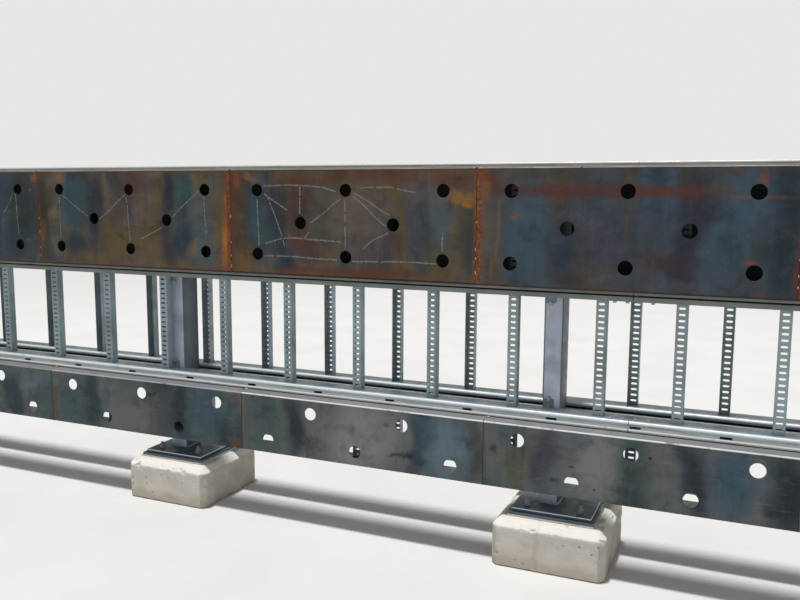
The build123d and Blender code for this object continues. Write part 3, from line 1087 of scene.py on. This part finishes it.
# Tack welds: small bright or rusty beads that hold the covers
def blob(shape, centre, outward, length, width, height, seed):
    """A low rounded bead, longer along the rack, standing on a face."""
    along = Vector((1, 0, 0))
    rise = outward.cross(along)
    rings = []
    for level in (0.0, 0.55, 0.9, 1.0):
        spread = math.cos(level * math.pi / 2 * 0.92)
        ring = []
        for i in range(10):
            angle = math.tau * i / 10
            lump = 1 + 0.25 * noise.noise(Vector((math.cos(angle), math.sin(angle), seed)) * 1.7)
            point = centre + along * math.cos(angle) * length / 2 * spread * lump
            point = point + rise * math.sin(angle) * width / 2 * spread * lump
            ring.append(point + outward * height * level)
        rings.append(ring)
    shape.run(rings)


# Where the tacks sit, as shares: along the top of an upper cover, and up the joint between two
TOP_TACKS = (0.012, 0.34, 0.83, 0.988)
JOINT_TACKS = (0.08, 0.19, 0.33, 0.52)
upper_front = upper_boxes[0][0].y
tacks = Shape()
for number, (low, high) in enumerate(upper_boxes):
    for share in TOP_TACKS:
        x = low.x + (high.x - low.x) * share + chance.uniform(-0.006, 0.006)
        rail_face = Vector((x, upper_front + 0.005, high.z + 0.002))
        blob(tacks, rail_face, FRONT, chance.uniform(0.010, 0.018), 0.006, 0.003, number + share)
for number, (low, high) in enumerate(lower_boxes, 9):
    flange = Vector((low.x + 0.015, high.y - 0.003, high.z))
    blob(tacks, flange, UP, chance.uniform(0.016, 0.024), 0.008, 0.004, number)
for x in upper_joints:
    for share in JOINT_TACKS:
        z = UPPER_LOW + (UPPER_HIGH - UPPER_LOW) * (share + chance.uniform(-0.04, 0.04))
        place = Vector((x, upper_front + 0.0006, z))
        blob(tacks, place, FRONT, 0.005, chance.uniform(0.008, 0.018), 0.002, z)
tacks.piece("cover_tacks", tack_scale, split=50)


BEAD_STEP = 0.007
BEAD_LEAST = 0.0012


def long_bead(shape, left, right, y, z, seed):
    """A lumpy run of weld along the top edge of a cover, broken where the gap stays open."""
    stretches = [[]]
    for i in range(int((right - left) / BEAD_STEP)):
        x = left + i * BEAD_STEP
        lump = noise.noise(Vector((x * 5, seed, 0))) + 0.6 * noise.noise(Vector((x * 45, seed, 3)))
        radius = 0.0021 + 0.0012 * lump
        if radius < BEAD_LEAST:
            stretches.append([])
        else:
            stretches[-1].append([(x, *point) for point in arc((y, z), radius, 0, 300, 5)])
    for rings in stretches:
        if len(rings) > 1:
            shape.run(rings)


beads = Shape()
for number, (low, high) in enumerate(upper_boxes):
    long_bead(beads, low.x + 0.002, high.x - 0.002, upper_front + 0.0032, high.z + 0.0018, number)
beads.piece("cover_welds", weld_zinc, split=50)


# Dark filling that closes the narrow joints between neighbouring covers
SEAM_WIDTH = 0.0026
SEAM_BACK = 0.0012
SEAM_DEPTH = 0.0020
lower_front = lower_boxes[0][0].y


def seam(shape, x, outer):
    """A narrow filling set back from the plates. outer lists (y, z) along the plates' face."""
    front_line = [(y + SEAM_BACK, z) for y, z in outer]
    back_line = [(y + SEAM_BACK + SEAM_DEPTH, z - SEAM_DEPTH) for y, z in outer]
    back_line[0] = (back_line[0][0], outer[0][1])
    shape.bar(front_line + back_line[::-1], x - SEAM_WIDTH / 2, x + SEAM_WIDTH / 2)


seams = Shape()
for x in upper_joints:
    seam(seams, x, [(upper_front, UPPER_LOW), (upper_front, UPPER_HIGH)])
for x in lower_joints:
    seam(seams, x, [(lower_front, LOWER_LOW), (lower_front, LOWER_HIGH - FOLD_DROP - 0.002),
                    (lower_boxes[0][1].y - 0.004, LOWER_HIGH - 0.004)])
seams.piece("cover_seams", dark_seam_fill)


# Chalk: faint setting-out strokes between the holes, in millimetres (across from the middle, up)
CHALK_STROKES = {
    1: [
        [(460, 1590), (470, 1350)], [(445, 1592), (400, 1520), (360, 1480)],
    ],
    2: [
        [(-474, 1572), (-470, 1345)], [(-450, 1580), (-275, 1470)], [(-205, 1455), (-20, 1585)],
        [(-18, 1575), (4, 1350)], [(75, 1362), (215, 1425)], [(275, 1475), (440, 1610)],
        [(470, 1580), (480, 1395)],
    ],
    3: [
        [(-474, 1572), (-468, 1345)],
        [(-434, 1634), (-330, 1637), (-235, 1632), (-130, 1624), (-45, 1608)],
        [(-240, 1630), (-238, 1500)], [(-434, 1598), (-305, 1515)],
        [(-412, 1585), (-335, 1390), (-325, 1345)],
        [(-430, 1357), (-335, 1386), (-230, 1385), (-130, 1378), (-20, 1373)],
        [(-437, 1300), (-330, 1303), (-190, 1300), (-40, 1294)], [(-185, 1462), (-20, 1578)],
        [(-190, 1420), (-225, 1385)], [(-2, 1570), (-3, 1340)], [(40, 1590), (205, 1452)],
        [(45, 1604), (225, 1500)], [(75, 1625), (220, 1628), (350, 1605)],
        [(90, 1348), (155, 1400), (215, 1424)], [(35, 1294), (180, 1292), (350, 1296), (452, 1292)],
        [(476, 1435), (476, 1345)],
    ],
}
CHALK_WIDTHS = {1: 0.0055, 2: 0.0055, 3: 0.0075}
CHALK_STEP = 0.007
CHALK_PROUD = 0.0003
FLECK = ((0, -1), (0.5, -1.25), (1, -0.8), (1, 0.8), (0.5, 1.2), (0, 0.9))


def chalk_stroke(shape, middle, points, width):
    """A broken, uneven line of flecks lying just in front of the plate."""
    y = upper_front - CHALK_PROUD
    for a, b in zip(points, points[1:]):
        start = Vector((middle + a[0] / 1000, 0, a[1] / 1000))
        end = Vector((middle + b[0] / 1000, 0, b[1] / 1000))
        along = (end - start).normalized()
        across = Vector((-along.z, 0, along.x))
        for i in range(int((end - start).length / CHALK_STEP)):
            place = start + along * CHALK_STEP * (i + chance.uniform(0.0, 0.3))
            wander = noise.noise(place * 9) * 0.006
            if noise.noise(place * 40) + chance.uniform(-0.25, 0.25) > 0.55:
                continue
            half = width / 2 * chance.uniform(0.45, 1.1)
            length = CHALK_STEP * chance.uniform(0.7, 1.15)
            corners = [place + along * length * t + across * (wander + half * w) for t, w in FLECK]
            shape.face([(corner.x, y, corner.z) for corner in corners])


chalk = Shape()
for number, strokes in CHALK_STROKES.items():
    low, high = upper_boxes[number - 1]
    for points in strokes:
        chalk_stroke(chalk, (low.x + high.x) / 2, points, CHALK_WIDTHS[number])
chalk.piece("chalk_strokes", chalk_dust, outward=False, split=None)


# Camera, from the photograph: eye height, heading to the left, slightly down
CAMERA_PLACE = Vector((1.754, -3.541, 1.597))
CAMERA_YAW = math.radians(23.47)
CAMERA_PITCH = math.radians(7.32)
CAMERA_ROLL = math.radians(0.31)
FOCAL_SHARE = 825 / 800
SENSOR_WIDTH = 36


def make_camera():
    data = bpy.data.cameras.new("photo_camera")
    data.sensor_width = SENSOR_WIDTH
    data.lens = SENSOR_WIDTH * FOCAL_SHARE
    data.clip_end = 400
    camera = new_object("photo_camera", data)
    heading = Matrix.Rotation(CAMERA_YAW, 4, "Z")
    tilt = Matrix.Rotation(math.pi / 2 - CAMERA_PITCH, 4, "X")
    roll = Matrix.Rotation(CAMERA_ROLL, 4, "Z")
    camera.matrix_world = Matrix.Translation(CAMERA_PLACE) @ heading @ tilt @ roll
    scene.camera = camera


make_camera()


# Floor, light and background
BACKDROP = colour(232, 231, 228)
FLOOR_RADIUS = 150
FLOOR_FADE_START = 5.0
FLOOR_FADE_END = 14.0
SUN_STRENGTH = 3.4
SUN_SPREAD = math.radians(5)
SUN_TOWARDS = Vector((-0.10, -0.04, 0.99))
SKY_STRENGTH = 0.36


def seen_directly(tree):
    """1 for what the camera, a mirror or glass sees, 0 for the light that falls on the rack."""
    path = add_node(tree, "LightPath", {})
    seen = path.outputs["Is Camera Ray"]
    for ray in ("Is Glossy Ray", "Is Transmission Ray"):
        seen = add_node(tree, "Math", {0: seen, 1: path.outputs[ray]}, operation="MAXIMUM").outputs[0]
    return seen


def make_floor():
    """A wide disc that takes the rack's shadow and fades into the background far away."""
    disc = bmesh.new()
    bmesh.ops.create_circle(disc, cap_ends=True, segments=64, radius=FLOOR_RADIUS)
    floor = new_object("floor", disc)
    f = Finish("pale_floor")
    f.base = f.mix(f.fade(f.noise(1.5), 0.3, 0.7), colour(204, 203, 200), colour(209, 208, 205))
    f.finish(0.9, 0.0, 0.2)
    glow = f.node("Emission", {"Color": BACKDROP})
    away = f.math("SQRT", f.plus(f.math("POWER", f.x, 2.0), f.math("POWER", f.y, 2.0)))
    share = f.times(f.fade(away, FLOOR_FADE_START, FLOOR_FADE_END), seen_directly(f.tree))
    blend = f.node("MixShader", {0: share, 1: f.surface.outputs[0], 2: glow.outputs[0]})
    feed(f.tree.nodes["Material Output"].inputs["Surface"], blend.outputs[0])
    floor.data.materials.append(f.material)


def make_light():
    """A key from almost overhead, a little to the front and left, and an even sky."""
    sun = bpy.data.lights.new("key", "SUN")
    sun.energy = SUN_STRENGTH
    sun.angle = SUN_SPREAD
    lamp = new_object("key", sun)
    lamp.rotation_mode = "QUATERNION"
    lamp.rotation_quaternion = SUN_TOWARDS.normalized().to_track_quat("Z", "Y")
    world = bpy.data.worlds.new("studio")
    world.use_nodes = True
    tree = world.node_tree
    plain = tree.nodes["Background"]
    plain.inputs["Color"].default_value = (1, 1, 1, 1)
    plain.inputs["Strength"].default_value = SKY_STRENGTH
    pale = add_node(tree, "Background", {"Color": BACKDROP})
    blend = add_node(tree, "MixShader", {0: seen_directly(tree), 1: plain.outputs[0], 2: pale.outputs[0]})
    feed(tree.nodes["World Output"].inputs["Surface"], blend.outputs[0])
    scene.world = world


make_floor()
make_light()
scene.view_settings.view_transform = "Standard"
